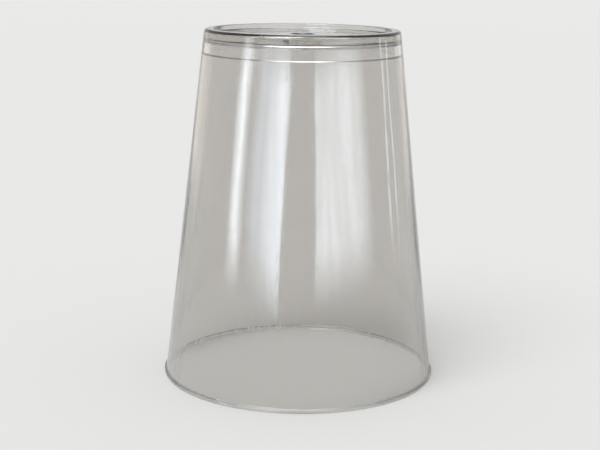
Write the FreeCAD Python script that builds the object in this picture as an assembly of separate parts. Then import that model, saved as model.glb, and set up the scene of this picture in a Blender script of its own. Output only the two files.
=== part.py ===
import FreeCAD, Part

import math
import os

# A clear plastic tumbler, moulded in one piece and standing mouth down.
# The origin is the centre of the plane that the lip rests on, +Z points up to the closed base,
# and every length is in millimetres. Half of the cup's section is drawn in the X-Z plane, with X
# as the distance from the axis, and is turned once round that axis.

# Overall form
HEIGHT = 86.5  # lip plane to foot plane
RIM_DIAMETER = 68.5  # over the lip bead
BASE_DIAMETER = 48.0  # outside of the wall, where it would meet the foot plane
WALL_THICKNESS = 0.6  # square to the wall

# Bead round the mouth
BEAD_OVERHANG = 0.4  # how far it stands out from the wall
BEAD_HEIGHT = 1.1  # lip plane to the top of its sloping shoulder
BEAD_SHOULDER_DROP = 0.35  # how far the shoulder falls towards its outer edge
BEAD_EDGE_RADIUS = 0.35  # outer edge beside the lip plane

# Foot ring and the recess inside it
HEEL_RADIUS = 0.8  # corner from the wall to the foot
FOOT_RING_WIDTH = 2.2  # wall outside to the recess, in the foot plane
RECESS_DEPTH = 1.2
RECESS_DRAFT_DEG = 20.0  # lean of the recess's side

# Floor of the cup, and the mark that the mould's gate leaves at its centre
FLOOR_THICKNESS = 1.2
FLOOR_CORNER_BEVEL = 0.8  # inside corner of the floor and the wall
GATE_WELL_DIAMETER = 6.0
GATE_WELL_DEPTH = 0.25
GATE_NUB_DIAMETER = 1.8
GATE_NUB_HEIGHT = 0.4

# Ledge inside, which the foot of the next cup rests on when cups are stacked
STACKING_PITCH = 5.95  # foot plane of one cup to the foot plane of the next
LEDGE_WIDTH = 1.1

# Places that follow from the sizes above
wall_foot_radius = BASE_DIAMETER / 2
wall_mouth_radius = RIM_DIAMETER / 2 - BEAD_OVERHANG
wall_slope = (wall_mouth_radius - wall_foot_radius) / HEIGHT
wall_width = WALL_THICKNESS * math.hypot(1, wall_slope)  # across the wall, square to the axis
recess_floor_z = HEIGHT - RECESS_DEPTH
inner_floor_z = recess_floor_z - FLOOR_THICKNESS
ledge_z = HEIGHT - STACKING_PITCH


def outside_radius(z):
    """Radius of the wall's outside at height z."""
    return wall_mouth_radius - wall_slope * z


def inside_radius(z):
    """Radius of the wall's inside at height z, between the mouth and the ledge."""
    return outside_radius(z) - wall_width


def point(corner):
    """A section corner as a point in the X-Z plane."""
    radius, z, _ = corner
    return FreeCAD.Vector(radius, 0, z)


def rounding(before, corner, after):
    """Start, middle and end of the arc that rounds a corner, or a sharp corner three times."""
    tip = point(corner)
    arc_radius = corner[2]
    if arc_radius == 0:
        return tip, tip, tip
    to_before = (point(before) - tip).normalize()
    to_after = (point(after) - tip).normalize()
    half_angle = to_before.getAngle(to_after) / 2
    tangent_length = arc_radius / math.tan(half_angle)
    bisector = (to_before + to_after).normalize()
    middle = tip + bisector * (arc_radius / math.sin(half_angle) - arc_radius)
    return tip + to_before * tangent_length, middle, tip + to_after * tangent_length


def rounded_outline(corners):
    """A closed wire of straight runs, with an arc at each corner (radius, z, arc radius)."""
    followers = corners[1:] + corners[:1]
    leaders = corners[-1:] + corners[:-1]
    arcs = [rounding(*trio) for trio in zip(leaders, corners, followers)]
    edges = []
    for corner, arc, next_arc in zip(corners, arcs, arcs[1:] + arcs[:1]):
        if corner[2] > 0:
            edges.append(Part.Arc(*arc).toShape())
        edges.append(Part.LineSegment(arc[2], next_arc[0]).toShape())
    return Part.Wire(edges)


def lip_corners():
    """The mouth's inner edge, the lip plane and the bead, up to the wall's outside."""
    return [
        (inside_radius(0), 0, 0),
        (RIM_DIAMETER / 2, 0, BEAD_EDGE_RADIUS),
        (RIM_DIAMETER / 2, BEAD_HEIGHT - BEAD_SHOULDER_DROP, 0),
        (outside_radius(BEAD_HEIGHT), BEAD_HEIGHT, 0),
    ]


def foot_corners():
    """The heel, the foot ring and its recess, in to the gate mark on the axis."""
    foot_inner = wall_foot_radius - FOOT_RING_WIDTH
    recess_inner = foot_inner - RECESS_DEPTH * math.tan(math.radians(RECESS_DRAFT_DEG))
    well_floor_z = recess_floor_z - GATE_WELL_DEPTH
    nub_top_z = well_floor_z + GATE_NUB_HEIGHT
    return [
        (wall_foot_radius, HEIGHT, HEEL_RADIUS),
        (foot_inner, HEIGHT, 0),
        (recess_inner, recess_floor_z, 0),
        (GATE_WELL_DIAMETER / 2, recess_floor_z, 0),
        (GATE_WELL_DIAMETER / 2 - GATE_WELL_DEPTH, well_floor_z, 0),  # its side leans by 45 degrees
        (GATE_NUB_DIAMETER / 2, well_floor_z, 0),
        (GATE_NUB_DIAMETER / 2, nub_top_z, 0),
        (0, nub_top_z, 0),
    ]


def inside_corners():
    """The inner floor, the thicker wall round it and the stacking ledge."""
    bevel_z = inner_floor_z - FLOOR_CORNER_BEVEL
    floor_radius = inside_radius(inner_floor_z) - LEDGE_WIDTH - FLOOR_CORNER_BEVEL
    return [
        (0, inner_floor_z, 0),
        (floor_radius, inner_floor_z, 0),
        (inside_radius(bevel_z) - LEDGE_WIDTH, bevel_z, 0),
        (inside_radius(ledge_z) - LEDGE_WIDTH, ledge_z, 0),
        (inside_radius(ledge_z), ledge_z, 0),
    ]


def make_tumbler():
    """The whole cup, turned from its half section."""
    section = Part.Face(rounded_outline(lip_corners() + foot_corners() + inside_corners()))
    return section.revolve(FreeCAD.Vector(0, 0, 0), FreeCAD.Vector(0, 0, 1), 360)


os.makedirs("parts", exist_ok=True)
make_tumbler().exportStep("parts/tumbler.step")
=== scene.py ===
import math

import bpy
from mathutils import Matrix, Vector


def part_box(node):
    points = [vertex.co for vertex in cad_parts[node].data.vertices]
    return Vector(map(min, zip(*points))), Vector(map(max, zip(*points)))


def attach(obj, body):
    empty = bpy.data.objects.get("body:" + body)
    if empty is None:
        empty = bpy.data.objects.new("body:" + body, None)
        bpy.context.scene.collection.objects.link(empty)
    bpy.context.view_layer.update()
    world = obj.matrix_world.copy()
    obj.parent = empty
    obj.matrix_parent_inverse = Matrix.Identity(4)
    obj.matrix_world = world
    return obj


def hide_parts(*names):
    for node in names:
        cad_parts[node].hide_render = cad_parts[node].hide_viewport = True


# A clear plastic tumbler standing mouth down on a pale floor. The cup is one moulded piece: its
# half section is turned round the Z axis. Lengths are in metres and angles in degrees.

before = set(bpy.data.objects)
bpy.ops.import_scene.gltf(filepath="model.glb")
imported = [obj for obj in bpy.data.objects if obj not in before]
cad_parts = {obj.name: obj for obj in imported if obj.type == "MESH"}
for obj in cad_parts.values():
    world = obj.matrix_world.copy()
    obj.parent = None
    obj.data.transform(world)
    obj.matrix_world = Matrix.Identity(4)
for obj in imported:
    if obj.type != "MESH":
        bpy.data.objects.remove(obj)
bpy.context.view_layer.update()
highest_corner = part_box("tumbler")[1]
MM = 0.001

# Sizes of the moulding
height = highest_corner.z
rim_radius = highest_corner.x
FOOT_RADIUS = 24.0 * MM
WALL_THICKNESS = 0.6 * MM
BEAD_OVERHANG = 0.4 * MM
BEAD_HEIGHT = 1.1 * MM
BEAD_SHOULDER_DROP = 0.35 * MM
FOOT_RING_WIDTH = 2.2 * MM
RECESS_DEPTH = 1.2 * MM
RECESS_DRAFT = 20
FLOOR_THICKNESS = 1.2 * MM
GATE_WELL_RADIUS = 3.0 * MM
GATE_WELL_DEPTH = 0.25 * MM
GATE_NUB_RADIUS = 0.9 * MM
GATE_NUB_HEIGHT = 0.4 * MM
STACKING_PITCH = 5.95 * MM
LEDGE_WIDTH = 1.1 * MM

# Moulded radii of its corners
LIP_INNER_ROUND = 0.2 * MM
BEAD_EDGE_ROUND = 0.35 * MM
BEAD_SHOULDER_ROUND = 0.18 * MM
BEAD_ROOT_ROUND = 0.2 * MM
HEEL_ROUND = 0.8 * MM
FOOT_INNER_ROUND = 0.3 * MM
RECESS_CORNER_ROUND = 0.4 * MM
GATE_ROUND = 0.1 * MM
FLOOR_CORNER_ROUND = 1.2 * MM
LEDGE_EDGE_ROUND = 0.25 * MM
LEDGE_ROOT_ROUND = 0.15 * MM

# Fineness of the turned mesh
TURNS = 288
DEGREES_PER_STEP = 12
FEWEST_STEPS = 2
LONGEST_RUN = 8 * MM
ON_AXIS = 1e-9  # a radius under this is the axis itself

# Relief of the moulded surface: the size of its cells along X, Y and Z, and its depth. Levels and
# heights run from where something starts to where it is full.
WAVE_CELL = (7 * MM, 7 * MM, 45 * MM)
WAVE_DEPTH = 0.14 * MM
DRIFT_CELL = (24 * MM, 24 * MM, 70 * MM)
DRIFT_DEPTH = 0.5 * MM
DRAW_CELL = (1.2 * MM, 1.2 * MM, 60 * MM)
DRAW_DEPTH = 0.006 * MM
HAIRLINE_CELL = (0.5 * MM, 0.5 * MM, 30 * MM)
HAIRLINE_LEVELS = (0.58, 0.70)
HAIRLINE_DEPTH = 0.004 * MM
RIPPLE_CELL = (2.4 * MM, 2.4 * MM, 2.4 * MM)
RIPPLE_HEIGHTS = (1.6 * MM, 1.0 * MM)
RIPPLE_DEPTH = 0.02 * MM
TURNING_PITCH = 1.1 * MM
TURNING_DEPTH = 0.0022 * MM
LEVEL_FACES = (0.8, 0.97)  # how upright the normal is

# Polish and wear of the surface
POLISH = 0.025
SCUFF = 0.28
SPECK_CELL = (0.6 * MM, 0.6 * MM, 0.6 * MM)
SPECK_LEVELS = (0.45, 0.7)
FOOT_WEAR_HEIGHTS = (height - 0.6 * MM, height - 0.1 * MM)
LIP_WEAR_HEIGHTS = (0.5 * MM, 0.1 * MM)
HAIRLINE_WEAR = 0.6

# How the plastic looks face on and at its turned edges
REFRACTION = 1.59
FACE_TINT = (0.745, 0.73, 0.71, 1)
EDGE_TINT = (0.40, 0.36, 0.31, 1)
SHADOW_TINT = (0.87, 0.87, 0.86, 1)
SHADOW_EDGE_TINT = (0.45, 0.45, 0.44, 1)
EDGE_LEVELS = (0.55, 1.0)
DEPTH_TINT = (0.72, 0.68, 0.62, 1)
DEPTH_DENSITY = 30

# Floor and sky
PALE = 0.82
FLOOR_COLOR = (PALE, PALE, 0.992 * PALE, 1)
FLOOR_RADIUS = 4.0
FLOOR_CORNERS = 96
FLOOR_FADES = (0.8, 2.2)  # out from the cup, where the floor turns into plain background
SKY_TOP = (0.50, 0.50, 0.50, 1)
SKY_TURNS_AT = 0.35  # sine of the elevation where the paler horizon ends

# Lamps
SUN_AZIMUTH = -35
SUN_ELEVATION = 55
SUN_SPREAD = 40
SUN_BRIGHTNESS = 0.586 * math.pi
OVERHEAD_SIZE = 0.5
OVERHEAD_HEIGHT = 0.5
OVERHEAD_RADIANCE = 3.5
OVERHEAD_FADE = (0.5, 0.1)  # out from its middle, in shares of its side: dark, and full
SOFTBOX_DISTANCE = 0.30
SOFTBOX_TALL = 0.50
SOFTBOX_END_FADE = 0.0375
SOFTBOX_FOLD_CELL = (0.05, 0.05, 0.09)  # soft folds of its cloth
SOFTBOX_FOLD_LEVELS = (0.35, 0.65)
SOFTBOX_FOLD_SHARE = 0.72
SOFTBOX_DIMS_UP = (0.104, 0.130)  # the heights where it dims, or the level base would glare
SOFTBOX_HIGH_SHARE = 0.22
SIDEWAYS = 90  # a softbox past this azimuth is behind the cup

# Colours of the softboxes
COOL = (0.86, 0.93, 1.0)
BLUE = (0.70, 0.82, 1.0)
WARM = (1.0, 0.90, 0.76)

# Each band of gloss on the wall, from the left of the photograph's view to its right: the azimuths
# that its softbox fills at the floor, its light, how much of its width fades at its left and
# right, and its height and lean where they aren't the usual ones
BANDS = {
    "rear_left": dict(azimuths=(-152, -110), radiance=0.9, color=WARM, fades=(0.3, 0.5)),
    "streak": dict(azimuths=(-72, -51), radiance=7.0, color=COOL, fades=(0.45, 0.5), tall=0.15),
    "broad_left_dim": dict(azimuths=(-55, -17), radiance=2.6, color=BLUE, fades=(0.3, 0.08), lean=-10),
    "broad_left": dict(azimuths=(-41, -17), radiance=3.2, color=COOL, fades=(0.55, 0.12), lean=-10),
    "broad_right": dict(azimuths=(11.5, 74), radiance=4.2, color=COOL, fades=(0.05, 0.36)),
    "line_near": dict(azimuths=(94, 97), radiance=3.5, color=COOL, fades=(0.2, 0.2)),
    "line_far": dict(azimuths=(104, 106.5), radiance=3.0, color=COOL, fades=(0.2, 0.2)),
    "rear_right": dict(azimuths=(120, 152), radiance=1.0, color=WARM, fades=(0.5, 0.3)),
}

# Camera, as the photograph was taken: a little above the base, looking down at the lip
CAMERA_DISTANCE = 0.312
CAMERA_ABOVE_BASE = 0.020
CAMERA_AIM_HEIGHT = 0.0375
CAMERA_ROLL = 0.8
CAMERA_LENS = 76.0

BOUNCES = 24  # of light, as it crosses both walls of the cup


def section_corners():
    """The half section as (radius, z, rounding), from the mouth over the foot to the inner wall."""
    mouth_radius = rim_radius - BEAD_OVERHANG
    slope = (mouth_radius - FOOT_RADIUS) / height
    wall_width = WALL_THICKNESS * math.hypot(1, slope)
    recess_floor = height - RECESS_DEPTH
    inner_floor = recess_floor - FLOOR_THICKNESS
    ledge = height - STACKING_PITCH
    well_floor = recess_floor - GATE_WELL_DEPTH
    nub_top = well_floor + GATE_NUB_HEIGHT
    foot_inner = FOOT_RADIUS - FOOT_RING_WIDTH
    recess_inner = foot_inner - RECESS_DEPTH * math.tan(math.radians(RECESS_DRAFT))

    def outside(z):
        return mouth_radius - slope * z

    def inside(z):
        return outside(z) - wall_width

    return [
        (inside(0), 0, LIP_INNER_ROUND),
        (rim_radius, 0, BEAD_EDGE_ROUND),
        (rim_radius, BEAD_HEIGHT - BEAD_SHOULDER_DROP, BEAD_SHOULDER_ROUND),
        (outside(BEAD_HEIGHT), BEAD_HEIGHT, BEAD_ROOT_ROUND),
        (FOOT_RADIUS, height, HEEL_ROUND),
        (foot_inner, height, FOOT_INNER_ROUND),
        (recess_inner, recess_floor, RECESS_CORNER_ROUND),
        (GATE_WELL_RADIUS, recess_floor, GATE_ROUND),
        (GATE_WELL_RADIUS - GATE_WELL_DEPTH, well_floor, GATE_ROUND),
        (GATE_NUB_RADIUS, well_floor, GATE_ROUND),
        (GATE_NUB_RADIUS, nub_top, GATE_ROUND),
        (0, nub_top, 0),
        (0, inner_floor, 0),
        (inside(inner_floor) - LEDGE_WIDTH, inner_floor, FLOOR_CORNER_ROUND),
        (inside(ledge) - LEDGE_WIDTH, ledge, LEDGE_EDGE_ROUND),
        (inside(ledge), ledge, LEDGE_ROOT_ROUND),
    ]


def rounded_corner(before, corner, after):
    """The points of one rounded corner, each with its outward normal, as two 2-D vectors."""
    tip = Vector(corner[:2])
    arriving = (tip - Vector(before[:2])).normalized()
    leaving = (Vector(after[:2]) - tip).normalized()
    first_normal = Vector((arriving.y, -arriving.x))
    last_normal = Vector((leaving.y, -leaving.x))
    if corner[2] == 0:
        return [(tip, first_normal), (tip, last_normal)]
    turn = arriving.angle_signed(leaving)  # below zero where the corner stands out
    reach = corner[2] * math.tan(abs(turn) / 2)
    outward = -math.copysign(corner[2], turn)
    centre = tip - arriving * reach - first_normal * outward
    steps = max(FEWEST_STEPS, math.ceil(math.degrees(abs(turn)) / DEGREES_PER_STEP))
    found = []
    for step in range(steps + 1):
        normal = first_normal.slerp(last_normal, step / steps)
        found.append((centre + normal * outward, normal))
    return found


def divided_run(start, end):
    """Points between two others on a straight run of the section, with its normal."""
    pieces = max(1, math.ceil((end[0] - start[0]).length / LONGEST_RUN))
    return [(start[0].lerp(end[0], i / pieces), end[1]) for i in range(1, pieces)]


def section_points():
    """The whole rounded half section: points and normals, with long straight runs divided."""
    corners = section_corners()
    count = len(corners)
    axis_end = next(i for i, corner in enumerate(corners) if corner[0] == 0)
    points = []
    for i in range(count):
        arc = rounded_corner(corners[i - 1], corners[i], corners[(i + 1) % count])
        if corners[i][0] == 0:
            arc = arc[:1] if i == axis_end else arc[1:]
        if points and i != axis_end + 1:
            points += divided_run(points[-1], arc[0])
        points += arc
    return points + divided_run(points[-1], points[0])


def turned_mesh(name, points):
    """A closed mesh that turns the section round Z, with exact normals."""
    places, normals, rings = [], [], []
    for spot, normal in points:
        if spot.x < ON_AXIS:
            rings.append([len(places)])
            places.append((0, 0, spot.y))
            normals.append((0, 0, normal.y))
            continue
        rings.append(range(len(places), len(places) + TURNS))
        for turn in range(TURNS):
            angle = 2 * math.pi * turn / TURNS
            across = (math.cos(angle), math.sin(angle))
            places.append((spot.x * across[0], spot.x * across[1], spot.y))
            normals.append((normal.x * across[0], normal.x * across[1], normal.y))
    faces = []
    for lower, upper in zip(rings, rings[1:] + rings[:1]):
        if len(lower) == 1 and len(upper) == 1:
            continue
        for turn in range(TURNS):
            following = (turn + 1) % TURNS
            if len(lower) == 1:
                faces.append((lower[0], upper[following], upper[turn]))
            elif len(upper) == 1:
                faces.append((lower[turn], lower[following], upper[0]))
            else:
                faces.append((lower[turn], lower[following], upper[following], upper[turn]))
    mesh = bpy.data.meshes.new(name)
    mesh.from_pydata(places, [], faces)
    mesh.shade_smooth()
    mesh.normals_split_custom_set_from_vertices(normals)
    return mesh


def add_object(name, data):
    """A new object in the scene, at the origin."""
    made = bpy.data.objects.new(name, data)
    bpy.context.scene.collection.objects.link(made)
    return made


def new_material(name):
    """An empty node material, with its output."""
    material = bpy.data.materials.new(name)
    material.use_nodes = True
    nodes = material.node_tree.nodes
    nodes.clear()
    return material, nodes.new("ShaderNodeOutputMaterial")


def separated(tree, vector):
    """The X, Y and Z of a vector."""
    parts = tree.nodes.new("ShaderNodeSeparateXYZ")
    tree.links.new(vector, parts.inputs[0])
    return parts.outputs


def mapped(tree, value, low, high, to_low=0.0, to_high=1.0):
    """A smooth step of a value from one level to another."""
    step = tree.nodes.new("ShaderNodeMapRange")
    step.interpolation_type = "SMOOTHSTEP"
    step.inputs["From Min"].default_value = low
    step.inputs["From Max"].default_value = high
    step.inputs["To Min"].default_value = to_low
    step.inputs["To Max"].default_value = to_high
    tree.links.new(value, step.inputs["Value"])
    return step.outputs["Result"]


def combined(tree, operation, first, second=0):
    """One Math node on two values, each of them a socket or a number."""
    node = tree.nodes.new("ShaderNodeMath")
    node.operation = operation
    for value, socket in zip((first, second), node.inputs):
        if isinstance(value, (int, float)):
            socket.default_value = value
        else:
            tree.links.new(value, socket)
    return node.outputs[0]


def stretched_noise(tree, place, cell, detail=2, roughness=0.5):
    """Noise with cells of a given size in metres along X, Y and Z."""
    stretch = tree.nodes.new("ShaderNodeVectorMath")
    stretch.operation = "MULTIPLY"
    stretch.inputs[1].default_value = [1 / length for length in cell]
    noise = tree.nodes.new("ShaderNodeTexNoise")
    noise.inputs["Scale"].default_value = 1
    noise.inputs["Detail"].default_value = detail
    noise.inputs["Roughness"].default_value = roughness
    tree.links.new(place, stretch.inputs[0])
    tree.links.new(stretch.outputs["Vector"], noise.inputs["Vector"])
    return noise.outputs["Fac"]


def blended(tree, share, first, second):
    """A colour between two others."""
    blend = tree.nodes.new("ShaderNodeMix")
    blend.data_type = "RGBA"
    blend.inputs["A"].default_value = first
    blend.inputs["B"].default_value = second
    tree.links.new(share, blend.inputs["Factor"])
    return blend.outputs["Result"]


def mixed_shader(tree, share, first, second):
    """The first shader where the share is 0, and the second where it is 1."""
    mix = tree.nodes.new("ShaderNodeMixShader")
    tree.links.new(share, mix.inputs["Fac"])
    tree.links.new(first, mix.inputs[1])
    tree.links.new(second, mix.inputs[2])
    return mix.outputs[0]


def bumped(tree, relief, depth, under=None):
    """A bump of a given depth in metres, on top of another normal if there is one."""
    bump = tree.nodes.new("ShaderNodeBump")
    bump.inputs["Strength"].default_value = 1
    bump.inputs["Distance"].default_value = depth
    tree.links.new(relief, bump.inputs["Height"])
    if under is not None:
        tree.links.new(under, bump.inputs["Normal"])
    return bump.outputs["Normal"]


def turning_rings(tree, across, along):
    """Fine rings round the axis, as turning leaves them in a mould."""
    squares = [combined(tree, "MULTIPLY", side, side) for side in (across, along)]
    radius = combined(tree, "SQRT", combined(tree, "ADD", *squares))
    return combined(tree, "SINE", combined(tree, "MULTIPLY", radius, 2 * math.pi / TURNING_PITCH))


def moulded_relief(tree, place, level, steep, hairlines):
    """The normal of the moulded surface: long waves, draw lines, mould rings and an uneven lip."""
    across, along, up = separated(tree, place)
    drift = stretched_noise(tree, place, DRIFT_CELL, detail=0)
    waves = stretched_noise(tree, place, WAVE_CELL, detail=1, roughness=0.4)
    lines = stretched_noise(tree, place, DRAW_CELL, detail=1)
    draw = combined(tree, "MULTIPLY", steep, lines)
    turning = combined(tree, "MULTIPLY", turning_rings(tree, across, along), level)
    unevenness = stretched_noise(tree, place, RIPPLE_CELL, detail=0)
    ripple = combined(tree, "MULTIPLY", unevenness, mapped(tree, up, *RIPPLE_HEIGHTS))
    normal = bumped(tree, drift, DRIFT_DEPTH)
    normal = bumped(tree, waves, WAVE_DEPTH, normal)
    normal = bumped(tree, draw, DRAW_DEPTH, normal)
    normal = bumped(tree, turning, TURNING_DEPTH, normal)
    normal = bumped(tree, hairlines, HAIRLINE_DEPTH, normal)
    return bumped(tree, ripple, RIPPLE_DEPTH, normal)


def worn_surface(tree, place, hairlines):
    """How rough the plastic is: scuffed at the lip and the foot, and a little along its hairlines."""
    up = separated(tree, place)["Z"]
    specks = mapped(tree, stretched_noise(tree, place, SPECK_CELL, detail=3), *SPECK_LEVELS)
    near_foot = mapped(tree, up, *FOOT_WEAR_HEIGHTS)
    near_lip = mapped(tree, up, *LIP_WEAR_HEIGHTS)
    wear = combined(tree, "MULTIPLY", combined(tree, "MAXIMUM", near_foot, near_lip), specks)
    rubbed = combined(tree, "MULTIPLY", hairlines, HAIRLINE_WEAR)
    return mapped(tree, combined(tree, "MAXIMUM", wear, rubbed), 0, 1, POLISH, SCUFF)


def clear_polystyrene():
    """Clear moulded plastic: polished, a little wavy, and scuffed where cups rub and stand."""
    material, output = new_material("clear_polystyrene")
    tree = material.node_tree
    nodes, links = tree.nodes, tree.links
    place = nodes.new("ShaderNodeTexCoord").outputs["Object"]
    facing = separated(tree, nodes.new("ShaderNodeNewGeometry").outputs["Normal"])
    level = mapped(tree, combined(tree, "ABSOLUTE", facing["Z"]), *LEVEL_FACES)
    steep = combined(tree, "SUBTRACT", 1, level)
    scratches = mapped(tree, stretched_noise(tree, place, HAIRLINE_CELL), *HAIRLINE_LEVELS)
    hairlines = combined(tree, "MULTIPLY", steep, scratches)
    grazing = nodes.new("ShaderNodeLayerWeight").outputs["Facing"]
    turned_away = mapped(tree, grazing, *EDGE_LEVELS)

    plastic = nodes.new("ShaderNodeBsdfPrincipled")
    plastic.inputs["Transmission Weight"].default_value = 1
    plastic.inputs["IOR"].default_value = REFRACTION
    links.new(blended(tree, turned_away, FACE_TINT, EDGE_TINT), plastic.inputs["Base Color"])
    links.new(worn_surface(tree, place, hairlines), plastic.inputs["Roughness"])
    links.new(moulded_relief(tree, place, level, steep, hairlines), plastic.inputs["Normal"])

    # Shadows, and light that the floor scatters, pass with a plain tint
    let_through = nodes.new("ShaderNodeBsdfTransparent")
    links.new(blended(tree, turned_away, SHADOW_TINT, SHADOW_EDGE_TINT), let_through.inputs["Color"])
    paths = nodes.new("ShaderNodeLightPath").outputs
    surface = mixed_shader(tree, paths["Is Diffuse Ray"], plastic.outputs[0], let_through.outputs[0])
    surface = mixed_shader(tree, paths["Is Shadow Ray"], surface, let_through.outputs[0])
    links.new(surface, output.inputs["Surface"])

    depth = nodes.new("ShaderNodeVolumeAbsorption")
    depth.inputs["Color"].default_value = DEPTH_TINT
    depth.inputs["Density"].default_value = DEPTH_DENSITY
    links.new(depth.outputs[0], output.inputs["Volume"])
    return material


def make_cup():
    """The cup, which stands for its solid."""
    cup = add_object("clear_cup", turned_mesh("clear_cup", section_points()))
    cup.data.materials.append(clear_polystyrene())
    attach(cup, "root")
    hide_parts("tumbler")


def pale_floor():
    """A plain pale floor, which runs out into the background and is clear from below."""
    material, output = new_material("pale_floor")
    tree = material.node_tree
    nodes = tree.nodes
    near = nodes.new("ShaderNodeBsdfDiffuse")
    near.inputs["Color"].default_value = FLOOR_COLOR
    far = nodes.new("ShaderNodeEmission")
    far.inputs["Color"].default_value = FLOOR_COLOR
    below = nodes.new("ShaderNodeBsdfTransparent")
    place = nodes.new("ShaderNodeNewGeometry").outputs
    reach = nodes.new("ShaderNodeVectorMath")
    reach.operation = "LENGTH"
    tree.links.new(place["Position"], reach.inputs[0])
    away = mapped(tree, reach.outputs["Value"], *FLOOR_FADES)
    surface = mixed_shader(tree, away, near.outputs[0], far.outputs[0])
    surface = mixed_shader(tree, place["Backfacing"], surface, below.outputs[0])
    tree.links.new(surface, output.inputs["Surface"])
    return material


def make_floor():
    """A round floor under the cup."""
    rim = [2 * math.pi * i / FLOOR_CORNERS for i in range(FLOOR_CORNERS)]
    places = [(FLOOR_RADIUS * math.cos(a), FLOOR_RADIUS * math.sin(a), 0) for a in rim]
    mesh = bpy.data.meshes.new("floor")
    mesh.from_pydata(places, [], [range(FLOOR_CORNERS)])
    mesh.materials.append(pale_floor())
    add_object("floor", mesh)


def make_world():
    """Even light from all round, palest at the horizon, where it meets the floor."""
    world = bpy.data.worlds.new("studio")
    world.use_nodes = True
    bpy.context.scene.world = world
    tree = world.node_tree
    up = separated(tree, tree.nodes.new("ShaderNodeTexCoord").outputs["Generated"])["Z"]
    sky = blended(tree, mapped(tree, up, 0, SKY_TURNS_AT), FLOOR_COLOR, SKY_TOP)
    tree.links.new(sky, tree.nodes["Background"].inputs["Color"])


def direction(azimuth, elevation):
    """Out from the cup. Azimuth 0 is towards the camera and 90 is to its right."""
    a, e = math.radians(azimuth), math.radians(elevation)
    return Vector((math.sin(a) * math.cos(e), -math.cos(a) * math.cos(e), math.sin(e)))


def make_sun():
    """A very soft lamp far away, which gives the floor its shadow."""
    lamp = bpy.data.lights.new("sun", "SUN")
    lamp.angle = math.radians(SUN_SPREAD)
    lamp.energy = SUN_BRIGHTNESS
    made = add_object("sun", lamp)
    made.rotation_euler = direction(SUN_AZIMUTH, SUN_ELEVATION).to_track_quat("Z", "Y").to_euler()


def make_overhead():
    """A softbox above, which draws the bright line along the lip's shoulder and the heel."""
    lamp = bpy.data.lights.new("overhead", "AREA")
    lamp.shape = "SQUARE"
    lamp.size = OVERHEAD_SIZE
    lamp.energy = OVERHEAD_RADIANCE * math.pi * OVERHEAD_SIZE ** 2
    lamp.use_nodes = True
    tree = lamp.node_tree
    place = tree.nodes.new("ShaderNodeNewGeometry")
    away = tree.nodes.new("ShaderNodeVectorMath")
    away.operation = "DISTANCE"
    away.inputs[1].default_value = (0.5, 0.5, 0)  # its middle, in shares of its side
    tree.links.new(place.outputs["Parametric"], away.inputs[0])
    glow = mapped(tree, away.outputs["Value"], *OVERHEAD_FADE)
    tree.links.new(glow, tree.nodes["Emission"].inputs["Strength"])
    made = add_object("overhead", lamp)
    made.location = (0, 0, OVERHEAD_HEIGHT)
    made.visible_camera = False
    made.visible_diffuse = False


def softbox_glow(tree, tall, fades):
    """How much light each place of a softbox gives to reflections. It gives none straight through."""
    place = tree.nodes.new("ShaderNodeNewGeometry").outputs
    spread = separated(tree, place["Parametric"])
    end_fade = SOFTBOX_END_FADE / tall
    folds = stretched_noise(tree, place["Position"], SOFTBOX_FOLD_CELL)
    up = separated(tree, place["Position"])["Z"]
    reflections = tree.nodes.new("ShaderNodeLightPath").outputs["Glossy Depth"]
    shares = (
        mapped(tree, spread["X"], 1, 1 - fades[1]),
        mapped(tree, spread["Y"], 0, end_fade),
        mapped(tree, spread["Y"], 1, 1 - end_fade),
        mapped(tree, folds, *SOFTBOX_FOLD_LEVELS, SOFTBOX_FOLD_SHARE, 1),
        mapped(tree, up, *SOFTBOX_DIMS_UP, 1, SOFTBOX_HIGH_SHARE),
        combined(tree, "GREATER_THAN", reflections, 0),
    )
    glow = mapped(tree, spread["X"], 0, fades[0])
    for share in shares:
        glow = combined(tree, "MULTIPLY", glow, share)
    return glow


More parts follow.
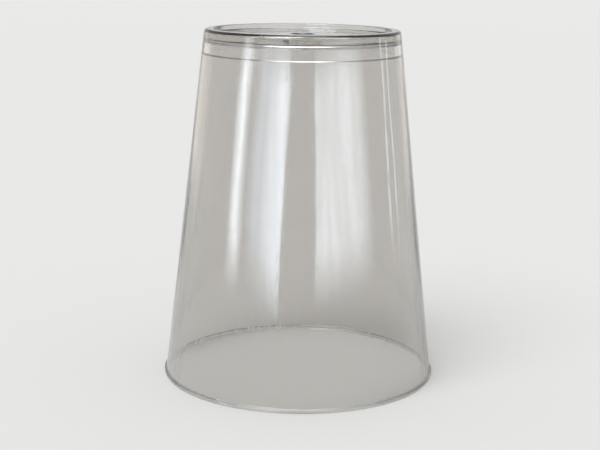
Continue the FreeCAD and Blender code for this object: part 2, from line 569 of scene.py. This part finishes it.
def make_softbox(name, azimuths, radiance, color, fades, tall=SOFTBOX_TALL, lean=0):
    """An upright lamp on the floor that only shows as a band of gloss, with faded edges."""
    middle = sum(azimuths) / 2
    width = 2 * SOFTBOX_DISTANCE * math.tan(math.radians(azimuths[1] - azimuths[0]) / 2)
    lamp = bpy.data.lights.new(name, "AREA")
    lamp.shape = "RECTANGLE"
    lamp.size, lamp.size_y = width, tall
    lamp.energy = radiance * width * tall * math.pi
    lamp.color = color
    lamp.use_nodes = True
    tree = lamp.node_tree
    tree.links.new(softbox_glow(tree, tall, fades), tree.nodes["Emission"].inputs["Strength"])
    made = add_object(name, lamp)
    facing = direction(middle, 0).to_track_quat("Z", "Y").to_matrix()
    leaning = facing @ Matrix.Rotation(math.radians(lean), 3, "Z")
    made.location = direction(middle, 0) * SOFTBOX_DISTANCE + leaning @ Vector((0, tall / 2, 0))
    made.rotation_euler = leaning.to_euler()
    made.visible_camera = False
    made.visible_diffuse = False
    made.visible_transmission = abs(middle) < SIDEWAYS  # one behind the cup would glare through it


def light_the_cup():
    """A soft sky and sun, and softboxes that draw the bands of gloss."""
    make_world()
    make_sun()
    make_overhead()
    for name, settings in BANDS.items():
        make_softbox(name, **settings)


def make_camera():
    """The photograph's view of the cup, with a longer lens so that it fills the frame."""
    data = bpy.data.cameras.new("camera")
    data.lens = CAMERA_LENS
    camera = add_object("camera", data)
    camera.location = (0, -CAMERA_DISTANCE, height + CAMERA_ABOVE_BASE)
    ahead = Vector((0, 0, CAMERA_AIM_HEIGHT)) - camera.location
    camera.rotation_euler = ahead.to_track_quat("-Z", "Y").to_euler()
    camera.rotation_euler.rotate_axis("Z", math.radians(CAMERA_ROLL))
    bpy.context.scene.camera = camera


def set_render_paths():
    """Enough bounces for light to cross both walls of the cup."""
    scene = bpy.context.scene
    scene.view_settings.view_transform = "Standard"
    scene.cycles.max_bounces = BOUNCES
    scene.cycles.transmission_bounces = BOUNCES
    scene.cycles.transparent_max_bounces = BOUNCES
    scene.cycles.caustics_refractive = False
    scene.cycles.caustics_reflective = False


make_cup()
make_floor()
light_the_cup()
make_camera()
set_render_paths()
